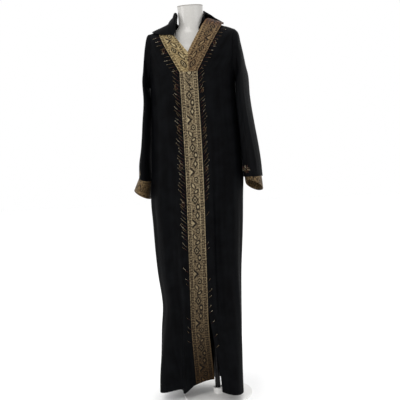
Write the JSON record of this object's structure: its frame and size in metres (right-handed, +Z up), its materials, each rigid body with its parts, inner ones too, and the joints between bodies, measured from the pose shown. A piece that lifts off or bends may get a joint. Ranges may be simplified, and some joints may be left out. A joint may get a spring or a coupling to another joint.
{
  "type": "hooded kaftan on a limbless dress form",
  "caption": "Full-length black hooded kaftan with woven gold trim down the front and at the cuffs, hanging hollow on a limbless dress form with a round-based stand.",
  "frame": {"origin": "centre of the base plate's underside", "axes": "+Z up along the stand's pole, the garment's front faces -Y, +X is the right side as seen from the front"},
  "size_m": [0.5392, 0.3209, 1.63],
  "materials": {
    "stand_plate": "satin off-white coating",
    "stand_tube": "smooth dark coating",
    "form_shell": "glossy warm white",
    "black_crepe": "matt black crepe with a faint sheen",
    "gold_trim": "woven gold and brown ribbon"
  },
  "bodies": {
    "root": {"base": "stand_plate", "pole": "stand_tube", "dress_form": "form_shell", "front_left": "black_crepe", "front_right": "black_crepe", "back": "black_crepe", "placket_band": "gold_trim", "neck_band_left": "gold_trim", "neck_band_right": "gold_trim", "hood": "black_crepe", "sleeve_left": "black_crepe", "sleeve_right": "black_crepe", "cuff_left": "gold_trim", "cuff_right": "gold_trim"}
  },
  "joints": []
}
